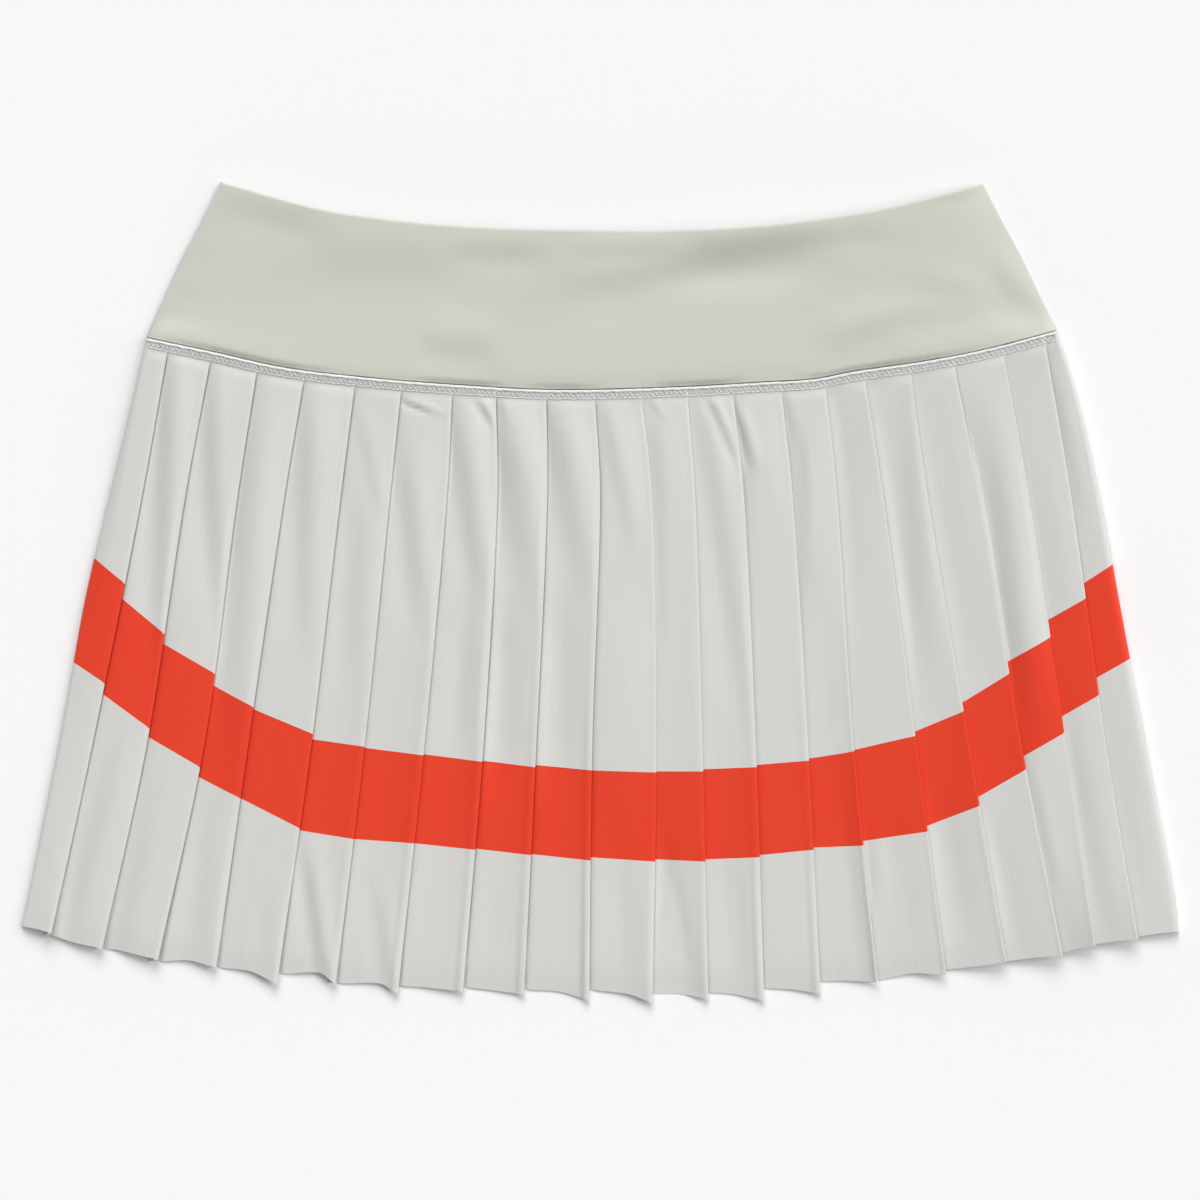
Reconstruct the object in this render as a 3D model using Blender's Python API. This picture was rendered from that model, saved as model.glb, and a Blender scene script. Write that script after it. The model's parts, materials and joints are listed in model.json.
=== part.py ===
"""Tennis skirt laid flat on its back, front side up.

Four walls of cloth, each one closed solid: the front and the back of the contoured knit
waistband, and the front and the back of the knife-pleated skirt. +X runs from hip to hip,
+Y from the hem to the waist and +Z up from the surface that the skirt lies on. The skirt
rests on the outer faces of its back pleats, and its front lies on its back.
"""

from collections import namedtuple
from math import hypot, radians

import bmesh
import bpy
from mathutils import Vector

# Everything below is in millimetres, and MM turns it into Blender's metres.
MM = 0.001

# Cloth.
SKIRT_WALL = 1.0
BAND_WALL = 1.2
LAYER_GAP = 0.2
SEAM_GAP = 0.3

# Pleats. Each one is a face, an outer fold on its right, an underlay that goes back to the
# left under the face, and an inner fold where the next face starts.
LAYER = SKIRT_WALL + LAYER_GAP
STACK = 2 * LAYER
FOLD_TURN = LAYER / 2
FOLD_EDGE = 0.8
CLEAR_OF_FOLD = 2.0
PAST_FOLD = 1.0
FRONT_SWELL = 0.4
BACK_STEP = 6.0
HEM_CURVE = 1.2

# The front's folds lift off a little near the hem. The shares say how much of the lift each
# place across a pleat takes.
HEM_LIFT = 1.6
HEM_LIFT_POWER = 5
LIFT_AT_FOLD = 1.0
LIFT_UNDER_FOLD = 0.85
LIFT_BEFORE_FOLD = 0.8
LIFT_PAST_FOLD = 0.4
LIFT_IN_FACE = 0.2

# Levels. The front's lowest faces lie just above the back's highest layers.
FRONT_FLOOR = SKIRT_WALL + STACK + SEAM_GAP
SIDE_MEETING = (FRONT_FLOOR + SKIRT_WALL) / 2
SIDE_ROLL = (FRONT_FLOOR - SKIRT_WALL - SEAM_GAP) / 2
SIDE_ROLL_WIDTH = 4.0
BACK_HEM_SHORTER = 6.0

# How far the rows of each wall are from the seam, as shares of the way down to the hem.
FRONT_ROWS = (0.0, 0.12, 0.3, 0.5, 0.7, 0.88, 1.0)
BACK_ROWS = (0.0, 0.2, 0.5, 0.8, 1.0)

# The waist seam, where the skirt's top edge lies: how far right of the middle, and its level.
SeamPoint = namedtuple("SeamPoint", "across level")
SEAM = (
    SeamPoint(-212.5, 118.5),
    SeamPoint(-181.5, 112.0),
    SeamPoint(-147.5, 104.5),
    SeamPoint(-111.0, 100.0),
    SeamPoint(-69.0, 96.5),
    SeamPoint(-20.0, 94.0),
    SeamPoint(41.0, 95.5),
    SeamPoint(75.0, 97.5),
    SeamPoint(99.5, 99.0),
    SeamPoint(118.0, 102.5),
    SeamPoint(152.0, 107.5),
    SeamPoint(180.0, 113.0),
    SeamPoint(212.5, 121.5),
)

# The skirt's side edges from the hem up to the seam: a level, and both edges there.
SidePoint = namedtuple("SidePoint", "level left right")
SIDES = (
    SidePoint(-158.0, -270.5, 269.5),
    SidePoint(-140.0, -267.0, 267.0),
    SidePoint(-69.0, -253.0, 254.0),
    SidePoint(-32.0, -245.5, 246.5),
    SidePoint(43.0, -230.0, 234.0),
    SidePoint(92.0, -219.0, 222.3),
    SidePoint(121.5, -212.0, 212.5),
)
HEM_ENDS = {"left": -155.5, "right": -158.0}

# One row for each outer fold of the front, from left to right. seam, upper, lower and hem are
# how far right of the middle the fold lies at the waist seam, at the two levels named below
# and at the hem. depth is how far the underlay reaches back, tip is the hem's level at the
# fold, and start is its level where the next face comes out from under the fold.
UPPER_LEVEL = 43.0
LOWER_LEVEL = -69.0
Fold = namedtuple("Fold", "seam upper lower hem depth tip start")
FOLDS = (
    Fold(-200.5, -215.5, -238.0, -255.5, 3.5, -158.5, -160.0),
    Fold(-180.5, -194.0, -212.0, -232.0, 3.0, -166.0, -166.0),
    Fold(-159.0, -169.5, -185.0, -206.0, 4.7, -171.0, -172.0),
    Fold(-137.0, -147.5, -164.0, -180.0, 2.8, -174.5, -174.5),
    Fold(-113.5, -121.5, -135.0, -150.0, 3.2, -182.0, -177.5),
    Fold(-92.0, -98.5, -108.0, -122.0, 3.6, -182.0, -182.0),
    Fold(-68.5, -72.0, -82.0, -94.5, 4.0, -186.5, -183.5),
    Fold(-48.5, -47.5, -54.5, -63.5, 4.0, -186.0, -184.0),
    Fold(-25.0, -24.5, -29.0, -35.0, 4.0, -187.5, -185.0),
    Fold(-2.5, 0.5, -3.5, -6.0, 4.0, -190.0, -185.0),
    Fold(19.0, 24.5, 26.5, 23.5, 4.0, -191.0, -187.0),
    Fold(40.5, 44.5, 47.5, 49.5, 4.0, -189.5, -186.5),
    Fold(61.5, 67.0, 72.5, 76.0, 4.0, -190.0, -184.5),
    Fold(84.0, 90.5, 98.0, 101.5, 4.0, -187.0, -181.5),
    Fold(104.5, 111.0, 119.0, 128.0, 4.0, -181.5, -181.0),
    Fold(122.5, 132.0, 147.5, 160.0, 4.0, -178.0, -176.0),
    Fold(144.0, 152.0, 171.0, 189.0, 4.0, -172.0, -172.0),
    Fold(165.0, 178.0, 197.0, 216.0, 4.5, -169.0, -168.0),
    Fold(187.0, 201.0, 218.0, 232.0, 5.0, -164.5, -164.0),
    Fold(206.5, 220.5, 236.0, 251.0, 4.5, -161.5, -160.5),
)

# The waistband's top edge, which dips between the hips.
BAND_TOP = (
    SeamPoint(-177.5, 191.0),
    SeamPoint(-132.0, 179.5),
    SeamPoint(-101.0, 174.5),
    SeamPoint(-58.0, 170.5),
    SeamPoint(0.0, 168.5),
    SeamPoint(28.5, 168.5),
    SeamPoint(71.5, 171.0),
    SeamPoint(99.5, 174.5),
    SeamPoint(135.5, 180.0),
    SeamPoint(178.5, 190.0),
)

# The waistband's side edges, from the seam up: how far across and how high each one is.
BandSide = namedtuple("BandSide", "left left_level right right_level")
BAND_SIDES = (
    BandSide(-212.5, 118.5, 212.5, 121.5),
    BandSide(-205.5, 134.5, 204.3, 140.5),
    BandSide(-196.5, 154.0, 196.0, 158.0),
    BandSide(-186.3, 172.5, 186.7, 174.5),
    BandSide(-177.5, 191.0, 178.5, 190.0),
)

# The height of the front waistband's wall at shares of the way from the seam to its top edge,
# measured from its lowest place, where it lies on the back waistband.
BandHeight = namedtuple("BandHeight", "share height")
BAND_HEIGHTS = (
    BandHeight(0.0, 3.3),
    BandHeight(0.1, 4.2),
    BandHeight(0.3, 3.5),
    BandHeight(0.6, 1.6),
    BandHeight(1.0, 0.0),
)
BAND_COLUMNS = 24
BAND_ROWS = 6
BAND_EDGE_POWER = 8

# Finish.
SKIRT_COLOUR = (0.69, 0.68, 0.65)
SKIRT_ROUGHNESS = 0.85
BAND_COLOUR = (0.61, 0.61, 0.53)
BAND_ROUGHNESS = 0.9
SHARP_ANGLE = radians(50)


def smooth(table, station, value, at):
    """The value at a station on the smooth curve through a table's rows."""
    stations = [getattr(row, station) for row in table]
    values = [getattr(row, value) for row in table]
    return smooth_value(stations, values, at)


def smooth_value(stations, values, at):
    """The value at a station on the smooth curve through stations in rising order."""
    last = len(stations) - 1
    at = min(max(at, stations[0]), stations[last])
    i = next(k for k in range(last) if at <= stations[k + 1])

    def slope(k):
        before, after = max(k - 1, 0), min(k + 1, last)
        return (values[after] - values[before]) / (stations[after] - stations[before])

    span = stations[i + 1] - stations[i]
    rise = values[i + 1] - values[i]
    s = (at - stations[i]) / span
    start_bend = slope(i) * span - rise
    end_bend = slope(i + 1) * span - rise
    return values[i] + s * rise + s * (1 - s) * ((1 - s) * start_bend - s * end_bend)


def seam_level(across):
    return smooth(SEAM, "across", "level", across)


def side_edge(side, share):
    """(across, level) of one of the skirt's side edges at a share of the way down."""
    top = SEAM[0 if side == "left" else -1].level
    level = top + (HEM_ENDS[side] - top) * share
    return smooth(SIDES, "level", side, level), level


def fold_edge(fold, hem_level, share, facing):
    """(across, level) of a fold's visible edge at a share of the way down to a hem level.

    facing is 1 on the front and -1 on the back, whose own left is the front's right.
    """
    top = seam_level(fold.seam * facing)
    level = top + (hem_level - top) * share
    levels = (fold.tip, LOWER_LEVEL, UPPER_LEVEL, top)
    places = (fold.hem, fold.lower, fold.upper, fold.seam)
    return smooth_value(levels, places, level), level


def panel_edges(number, share, facing):
    """The left and right edges of a visible panel, as (across, level) at a share."""
    if number == 0:
        across, level = side_edge("left" if facing == 1 else "right", share)
        left = across * facing, level
    else:
        left = fold_edge(FOLDS[number - 1], FOLDS[number - 1].start, share, facing)
    if number == len(FOLDS):
        across, level = side_edge("right" if facing == 1 else "left", share)
        right = across * facing, level
    else:
        right = fold_edge(FOLDS[number], FOLDS[number].tip, share, facing)
    return left, right


class Section:
    """The middle line of a pleated wall across the skirt, at one share of the way down."""

    def __init__(self, share, facing):
        self.share = share
        self.facing = facing
        self.is_front = facing == 1
        self.rim = 0.0 if self.is_front else STACK
        self.points = []
        self.ways_out = []
        for number in range(len(FOLDS) + 1):
            self.add_panel(number)

    def add(self, across, level, height, lift=0.0, ways=None):
        """A point of the middle line, and at a turn the ways to the wall's two sides."""
        if self.is_front:
            height += HEM_LIFT * lift * self.share**HEM_LIFT_POWER
        else:
            level += BACK_HEM_SHORTER * self.share
        self.points.append((across, level, height))
        self.ways_out.append(ways)

    def add_panel(self, number):
        """A face from the left side edge or inner fold to the right side edge or outer fold."""
        left, right = panel_edges(number, self.share, self.facing)
        curve = 1 + HEM_CURVE * self.share

        def level(across):
            u = min(max((across - left[0]) / (right[0] - left[0]), 0), 1)
            return left[1] + (right[1] - left[1]) * u**curve

        roll = min(SIDE_ROLL_WIDTH, (right[0] - left[0]) / 3)
        if number == 0:
            start = left[0] + roll
            self.add(left[0], left[1], self.rim - SIDE_ROLL)
            self.add(left[0] + roll / 3, left[1], self.rim - SIDE_ROLL / 3)
            self.add(start, left[1], self.rim)
        else:
            start = left[0] + PAST_FOLD
            self.add(left[0] - FOLDS[number - 1].depth, left[1], 0, LIFT_UNDER_FOLD)
            self.add(start, left[1], 0, LIFT_PAST_FOLD)
        if number == len(FOLDS):
            end = right[0] - roll
            self.add_middle(start, end, level, self.rim)
            self.add(end, level(end), self.rim)
            self.add(right[0] - roll / 3, right[1], self.rim - SIDE_ROLL / 3)
            self.add(right[0], right[1], self.rim - SIDE_ROLL)
        else:
            end = right[0] - FOLDS[number].depth - CLEAR_OF_FOLD
            self.add_middle(start, end, level, STACK)
            self.add(end, level(end), STACK, LIFT_BEFORE_FOLD)
            self.add_fold(FOLDS[number], right)

    def add_middle(self, start, end, level, height):
        """A point inside a face: part of the way up on the front, past the step on the back."""
        if self.is_front:
            across = (start + end) / 2
            height *= FRONT_SWELL
        else:
            across = start + min(BACK_STEP, (end - start) / 2)
        self.add(across, level(across), height, LIFT_IN_FACE)

    def add_fold(self, fold, edge):
        """The turn at the outer fold, the underlay, and the turn at the inner fold."""
        across, level = edge
        start_level = fold_edge(fold, fold.start, self.share, self.facing)[1]
        crest = across - FOLD_EDGE
        turn = crest - FOLD_TURN
        inner = across - fold.depth
        half = SKIRT_WALL / 2
        up, down = (0, half), (0, -half)
        self.add(turn, level, STACK, LIFT_AT_FOLD, (up, down))
        self.add(crest, level, LAYER * 1.5, LIFT_AT_FOLD, ((FOLD_EDGE, 0), (-half, 0)))
        self.add(turn, level, LAYER, LIFT_AT_FOLD, (down, up))
        self.add(inner, start_level, LAYER, LIFT_UNDER_FOLD, (down, up))
        ways = (half, 0), (-FOLD_EDGE, 0)
        self.add(inner - FOLD_TURN, start_level, LAYER / 2, LIFT_UNDER_FOLD, ways)

    def side(self, number, is_outer):
        """A point of the wall's outer or inner side, as (across, level, height)."""
        across, level, height = self.points[number]
        ways = self.ways_out[number] or self.ways_from_face(number)
        step = ways[0 if is_outer else 1]
        return across + step[0], level, height + step[1]

    def ways_from_face(self, number):
        """The ways to a face's two sides, square to the line between its neighbours.

        Next to a turn, the point itself stands in for the neighbour on the turn.
        """
        before, after = max(number - 1, 0), min(number + 1, len(self.points) - 1)
        before = self.points[number if self.ways_out[before] else before]
        after = self.points[number if self.ways_out[after] else after]
        run, rise = after[0] - before[0], after[2] - before[2]
        scale = SKIRT_WALL / 2 / hypot(run, rise)
        out = (-rise * scale, run * scale)
        return out, (-out[0], -out[1])


def pleated_sections(shares, facing):
    """The sections of a pleated wall, with the top one fitted to the waist seam."""
    sections = [Section(share, facing) for share in shares]
    for number, (top_across, top_level, _) in enumerate(list(sections[0].points)):
        error = seam_level(top_across * facing) - top_level
        for section in sections:
            across, level, height = section.points[number]
            section.points[number] = across, level + error * (1 - section.share), height
    return sections


def wall_object(name, columns, rows, place, material, parent):
    """A closed wall: a grid and its copy, joined round the edges and put in place.

    place(column, row, is_outer) gives a point in millimetres.
    """
    bm = bmesh.new()
    bmesh.ops.create_grid(bm, x_segments=columns - 1, y_segments=rows - 1, size=1.0)
    outer = list(bm.verts)
    made = bmesh.ops.extrude_face_region(bm, geom=list(bm.faces), use_keep_orig=True)
    inner = [item for item in made["geom"] if isinstance(item, bmesh.types.BMVert)]
    for is_outer, verts in ((True, outer), (False, inner)):
        for vert in verts:
            column = round((vert.co.x + 1) / 2 * (columns - 1))
            row = round((vert.co.y + 1) / 2 * (rows - 1))
            vert.co = [value * MM for value in place(column, row, is_outer)]
    bmesh.ops.recalc_face_normals(bm, faces=list(bm.faces))
    mesh = bpy.data.meshes.new(name)
    bm.to_mesh(mesh)
    bm.free()
    mesh.shade_smooth()
    mesh.set_sharp_from_angle(angle=SHARP_ANGLE)
    mesh.materials.append(material)
    obj = bpy.data.objects.new(name, mesh)
    bpy.context.scene.collection.objects.link(obj)
    obj.parent = parent
    return obj


def cloth_material(name, colour, roughness):
    material = bpy.data.materials.new(name)
    material.use_nodes = True
    shader = material.node_tree.nodes["Principled BSDF"]
    shader.inputs["Base Color"].default_value = (*colour, 1.0)
    shader.inputs["Roughness"].default_value = roughness
    shader.inputs["Metallic"].default_value = 0.0
    return material


def skirt_panel(name, shares, facing, parent):
    """A pleated panel. The back is cut as the front, but turned over to face the surface."""
    sections = pleated_sections(shares, facing)

    def place(column, row, is_outer):
        across, level, height = sections[row].side(column, is_outer)
        if facing == 1:
            return across, level, FRONT_FLOOR + SKIRT_WALL / 2 + height
        return -across, level, SKIRT_WALL / 2 + STACK - height

    columns = len(sections[0].points)
    material = cloth_material(name + "_cloth", SKIRT_COLOUR, SKIRT_ROUGHNESS)
    return wall_object(name, columns, len(sections), place, material, parent)


def band_side(side, v):
    """The place on one of the waistband's side edges, v from the seam up."""
    steps = [index / (len(BAND_SIDES) - 1) for index in range(len(BAND_SIDES))]
    across = [getattr(row, side) for row in BAND_SIDES]
    level = [getattr(row, side + "_level") for row in BAND_SIDES]
    return Vector((smooth_value(steps, across, v), smooth_value(steps, level, v)))


def band_place(u, v):
    """The place on the waistband, u from left to right and v from the seam up.

    It lies between the two side edges, and bends as the seam and the top edge do.
    """
    low = band_side("left", 0).lerp(band_side("right", 0), u)
    high = band_side("left", 1).lerp(band_side("right", 1), u)
    seam_bend = seam_level(low.x) - low.y
    top_bend = smooth(BAND_TOP, "across", "level", high.x) - high.y
    bend = seam_bend + (top_bend - seam_bend) * v
    return band_side("left", v).lerp(band_side("right", v), u) + Vector((0, bend + SEAM_GAP))


def band_wall(name, edge_at_seam, edge_at_top, middle_height, parent):
    """A waistband wall, its middle at middle_height(v) and its sides rolled to their edges."""

    def place(column, row, is_outer):
        u, v = column / BAND_COLUMNS, row / BAND_ROWS
        across, level = band_place(u, v)
        edge = edge_at_seam + (edge_at_top - edge_at_seam) * v
        spread = 1 - abs(2 * u - 1) ** BAND_EDGE_POWER
        height = edge + (middle_height(v) - edge) * spread
        return across, level, height + (BAND_WALL / 2 if is_outer else -BAND_WALL / 2)

    material = cloth_material(name + "_knit", BAND_COLOUR, BAND_ROUGHNESS)
    return wall_object(name, BAND_COLUMNS + 1, BAND_ROWS + 1, place, material, parent)


def waistband_front(parent):
    """The waistband's front, which bulges over the seam and lies down to its top edge."""
    lowest = BAND_WALL * 1.5 + SEAM_GAP
    edge = SIDE_MEETING + (SEAM_GAP + BAND_WALL) / 2

    def height(v):
        return lowest + smooth(BAND_HEIGHTS, "share", "height", v)

    return band_wall("waistband_front", edge, lowest, height, parent)


def waistband_back(parent):
    """The waistband's back, flat on the surface, its sides rolled up to meet the front's."""
    flat = BAND_WALL / 2
    edge = SIDE_MEETING - (SEAM_GAP + BAND_WALL) / 2
    return band_wall("waistband_back", edge, flat, lambda v: flat, parent)


def clear_scene():
    for obj in list(bpy.data.objects):
        bpy.data.objects.remove(obj)


def centre_on_origin(carrier):
    """Moves the parent so that the whole skirt stands centred over the origin."""
    corners = [vert.co for obj in carrier.children for vert in obj.data.vertices]
    for axis in range(2):
        values = [corner[axis] for corner in corners]
        carrier.location[axis] = -(min(values) + max(values)) / 2
    carrier.location[2] = -min(corner[2] for corner in corners)


def main():
    clear_scene()
    carrier = bpy.data.objects.new("skirt", None)
    bpy.context.scene.collection.objects.link(carrier)
    skirt_panel("skirt_front", FRONT_ROWS, 1, carrier)
    skirt_panel("skirt_back", BACK_ROWS, -1, carrier)
    waistband_front(carrier)
    waistband_back(carrier)
    centre_on_origin(carrier)


main()
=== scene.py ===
"""Tennis skirt laid flat on its back: its cloth, waist seam and stage.

+X runs from hip to hip, +Y from the hem to the waist and +Z up from the floor. The tables are in
millimetres, measured from the skirt's middle, and to_world puts a place from them into the
frame's metres. A share of the way down runs from 0 at the waist seam to 1 at the hem.
"""

import json
from collections import namedtuple
from math import cos, exp, hypot, pi, radians, sin

import bmesh
import bpy
from bpy.props import FloatProperty, FloatVectorProperty, PointerProperty
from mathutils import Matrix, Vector
from mathutils.bvhtree import BVHTree

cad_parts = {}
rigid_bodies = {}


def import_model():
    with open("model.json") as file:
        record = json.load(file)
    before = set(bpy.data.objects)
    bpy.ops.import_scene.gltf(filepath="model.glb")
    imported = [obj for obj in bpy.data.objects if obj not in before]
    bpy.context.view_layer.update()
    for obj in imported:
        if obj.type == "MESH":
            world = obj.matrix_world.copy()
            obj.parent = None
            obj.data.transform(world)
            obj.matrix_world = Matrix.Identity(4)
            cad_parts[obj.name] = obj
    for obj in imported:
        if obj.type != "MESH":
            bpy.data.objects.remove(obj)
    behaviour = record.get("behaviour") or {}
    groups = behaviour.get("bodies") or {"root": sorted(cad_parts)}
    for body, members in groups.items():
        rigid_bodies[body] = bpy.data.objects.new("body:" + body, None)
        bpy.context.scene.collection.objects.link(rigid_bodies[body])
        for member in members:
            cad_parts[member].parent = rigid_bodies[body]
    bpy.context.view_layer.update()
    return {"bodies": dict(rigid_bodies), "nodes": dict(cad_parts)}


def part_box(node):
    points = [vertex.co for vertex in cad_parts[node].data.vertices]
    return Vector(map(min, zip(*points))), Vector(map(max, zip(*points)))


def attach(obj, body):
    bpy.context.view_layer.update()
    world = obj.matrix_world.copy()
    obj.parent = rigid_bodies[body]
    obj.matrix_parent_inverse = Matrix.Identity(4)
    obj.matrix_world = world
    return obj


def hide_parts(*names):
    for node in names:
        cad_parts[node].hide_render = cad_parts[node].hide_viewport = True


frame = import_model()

bl_info = {
    "name": "Tennis Skirt",
    "version": (1, 0, 0),
    "blender": (4, 5, 0),
    "location": "3D View > Sidebar > Skirt",
    "description": "Makes the cloth, seam and stage of a pleated tennis skirt laid flat",
    "category": "Object",
}

MM = 0.001
BODY = "root"


def table(fields, *rows, defaults=()):
    """A table's rows as named tuples, so that each value goes by its name."""
    kind = namedtuple("Row", fields, defaults=defaults)
    return tuple(kind(*row) for row in rows)


# Levels of the middle of the pleated cloth's wall. The front lies FRONT_BASE over the floor and
# comes down to it at the hem. Until it settles there it stays over FRONT_LOWEST, with its dips
# rounded off by FLOOR_SOFTENS. PRESSED is the space between layers pressed flat on each other.
FRONT_BASE = 3.5
FRONT_LOWEST = 1.1
FLOOR_SOFTENS = 0.25
SETTLE_START = 0.95
BASE_DROPS = table("share drop", (0, 0), (0.45, 0), (0.8, 0.4), (0.96, 0.7), (1, 1))
PRESSED = 0.28

# The front's base at the hem, which stands off the floor towards both sides.
HEM_BASES = table(
    "across height",
    (-262, 2.4), (-254, 2), (-245, 0.5), (-215, 0.2), (-180, 0), (0, 0), (110, 0), (150, 0.4),
    (180, 1.6), (210, 2.6), (262, 2.4),
)

# How quickly the folds lift off the floor towards the hem, and each face towards its fold's tip.
HEM_LIFT_POWER = 10
TIP_LIFT_POWER = 1.6

# The front's base falls to SIDE_BASE at both sides, within widths that grow until FALL_WIDENS of
# the way down. Each side starts or ends at its own height and rolls down to meet the back.
SIDE_BASE = 1.8
LEFT_FALL_WIDTH = 14.0
RIGHT_FALL_WIDTH = 4.0
FALL_START_WIDTH = 1.5
FALL_WIDENS = 0.45
SIDE_MEETING = 0.45
SIDE_ROLL_WIDTH = 1.2
SIDE_START = 0.9
SIDE_CLIMB = 1.6

# The back's pleats: how wide the rise out from under a fold is, the space between two layers, how
# far the seam's strip lifts them, and how much shorter the back is than the front.
BACK_RISE_WIDTH = 6.0
BACK_SPACE = 0.28
BACK_STRIP_LIFT = 1.0
BACK_HEM_SHORTER = 9.0

# The stitched strip along the seam holds the pleats flat: its height at the seam and at its low
# edge, half the step from one of its layers to the next, and how far below the seam it ends and
# the pleats are free.
STRIP_HEIGHTS = table(
    "across high low",
    (-212, 1.5, 1.1), (-195, 2, 1), (-110, 1.9, 1), (-75, 1.8, 1.1), (-60, 1.7, 1.1),
    (110, 1.6, 1.1), (160, 1.6, 1), (212, 1.4, 1.1),
)
STRIP_STEP = 0.25
STRIP_END = 4.6
LOOSE_WIDTH = 3.0
PLEATS_FREE = 9.0

# The waist seam, where the skirt's top edge lies: how far right of the middle, and its level.
SEAM = table(
    "across level",
    (-212.5, 118.5), (-181.5, 112), (-147.5, 104.5), (-111, 100), (-69, 96.5), (-20, 94),
    (41, 95.5), (75, 97.5), (99.5, 99), (118, 102.5), (152, 107.5), (180, 113), (212.5, 121.5),
)
SEAM_GAP = 0.3

# The skirt's side edges from the hem up to the seam: a level, and both edges there.
SIDES = table(
    "level left right",
    (-158, -270, 269.5), (-140, -266, 267.3), (-69, -251.8, 254.1), (-32, -245.1, 247),
    (1, -238.9, 240.9), (43, -229, 233.3), (92, -217.4, 222.2), (121.5, -210.8, 213),
)
HEM_ENDS = {"left": -155.5, "right": -158.0}

# One row for each outer fold, from left to right. seam, upper, lower and hem are how far right
# of the middle the fold lies at the waist seam, at the two levels named below and at the hem.
# depth is how far the underlay reaches back, tip is the hem's level at the fold, and start is
# its level where the next face comes out from under the fold.
UPPER_LEVEL = 43.0
LOWER_LEVEL = -69.0
FOLDS = table(
    "seam upper lower hem depth tip start",
    (-200.5, -213.4, -235.8, -255, 3.5, -158.5, -160),
    (-180.5, -193.2, -210.5, -231.5, 3, -166, -166),
    (-159, -168.8, -183.8, -205.5, 4.7, -171, -172),
    (-137, -147, -163.4, -178.5, 2.8, -174.5, -174.5),
    (-113.5, -120.8, -134, -150.2, 3.2, -182, -177.5),
    (-92, -97.8, -109.2, -122.8, 3.6, -182, -182),
    (-68.5, -71.3, -81.4, -94, 3.4, -186.5, -183.5),
    (-48.5, -47.7, -54, -63.7, 3.2, -186, -184),
    (-25, -24.5, -29.5, -35.3, 3.2, -187.5, -185),
    (-2.5, 0.1, -3.5, -5, 3.2, -190, -185),
    (19, 24.3, 26.3, 24.5, 3.4, -191, -187),
    (40.5, 44.5, 47.7, 50.5, 3.6, -189.5, -186.5),
    (61.5, 67.2, 72.5, 76.5, 3.6, -190, -184.5),
    (84, 89.9, 96.8, 102.8, 3.6, -187, -181.5),
    (104.5, 110.5, 118, 129.2, 3.6, -181.5, -181),
    (122.5, 132, 147, 161, 3.8, -178, -176),
    (144, 152.8, 171.5, 189, 4, -172, -172),
    (164, 177, 195.8, 215.2, 4.2, -169, -168),
    (187, 200, 216.5, 230.3, 4.6, -164.5, -164),
    (206.5, 219.5, 235.2, 250.2, 4.3, -161.5, -160.5),
)


# How far the middle fold reaches down from the seam.
MIDDLE_LENGTH = SEAM[6].level - FOLDS[10].tip

# How each fold is pressed, at the seam and at the hem: the height of its edge over the front's
# base, the height where the next face comes out from under it, and the step where the face
# climbs onto the fold's layers. bank is how far the next face rises at once beside the fold,
# crown is how far the face rounds over to the edge, and lift is how far the fold's tip stands off
# the floor.
PRESSINGS = table(
    "edge edge_hem start start_hem bank crown step step_hem lift",
    (1.7, 1.5, -0.4, -0.5, 1.2, 0.25, 0, 0.1, 3.6),
    (1.7, 1.5, -0.4, -0.4, 1, 0.25, 0, 0.1, 4),
    (1.7, 1.5, -0.5, -0.4, 1.1, 0.25, 0, 0.1, 4.2),
    (1.7, 1.4, -0.4, -0.4, 1, 0.22, 0, 0.2, 3.2),
    (1.7, 1.4, -0.4, -0.2, 0.9, 0.22, 0, 0.2, 3.4),
    (1.6, 1.2, -0.3, -0.1, 0.85, 0.22, 0, 0.4, 3.6),
    (1.5, 1.1, -0.4, 0, 0.9, 0.22, 0.1, 0.8, 3.1),
    (1.6, 1.2, -0.5, -0.5, 1.3, 0.22, 0.1, 0.9, 2.6),
    (1.6, 1.1, -0.5, -0.5, 1.3, 0.1, 0.1, 1, 1.8),
    (1.5, 1.1, -0.1, -0.3, 1, 0.15, 0.1, 1.8, 2),
    (0.9, 1.1, 0.4, -0.5, 0.3, 0.2, 0, 0.3, 2.4),
    (1.35, 0.9, 0.2, 0, 0.5, 0.2, 0, 0.3, 2.2),
    (1.4, 0.9, 0.1, 0, 0.6, 0.2, 0, 0.9, 2.1),
    (1.35, 0.9, 0.2, 0, 0.5, 0.2, 0, 0.75, 1.9),
    (2.1, 1.9, 0.2, -0.1, 0.1, 0.1, 0, 2, 3),
    (2.1, 1.8, 0.1, 0, 0.1, 0, 0, 0.5, 2.4),
    (2, 1.8, 0.1, 0, 0.1, 0, 0, 0.4, 3.2),
    (2, 1.8, 0, -0.2, 0.3, 0, 0, 0.3, 3.4),
    (2.1, 1.8, 0.1, 0, 0.1, 0, 0, 0.3, 3.6),
    (2, 1.8, -0.1, -0.1, 0.3, 0.05, 0, 0.3, 3),
)

# Where the step lies before the fold's edge. From FIRST_NEAR_STEP on it lies nearer, and the
# folds' turns are tight.
STEP_PLACE = 3.3
FIRST_NEAR_STEP = 14
NEAR_STEP_PLACE = 1.5
TIGHT_TURN = 0.3

# How wide the step is and how soon it grows down the fold, how wide the bank is at the seam and at
# the hem, and the crown's width, with how much it gains at the seam and how soon it loses that.
STEP_WIDTH = 2.6
STEP_POWER = 3
BANK_WIDTH = 1.5
BANK_HEM_WIDTH = 2.6
CROWN_WIDTH = 1.5
TOP_CROWN = 1.2
TOP_CROWN_POWER = 10

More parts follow.
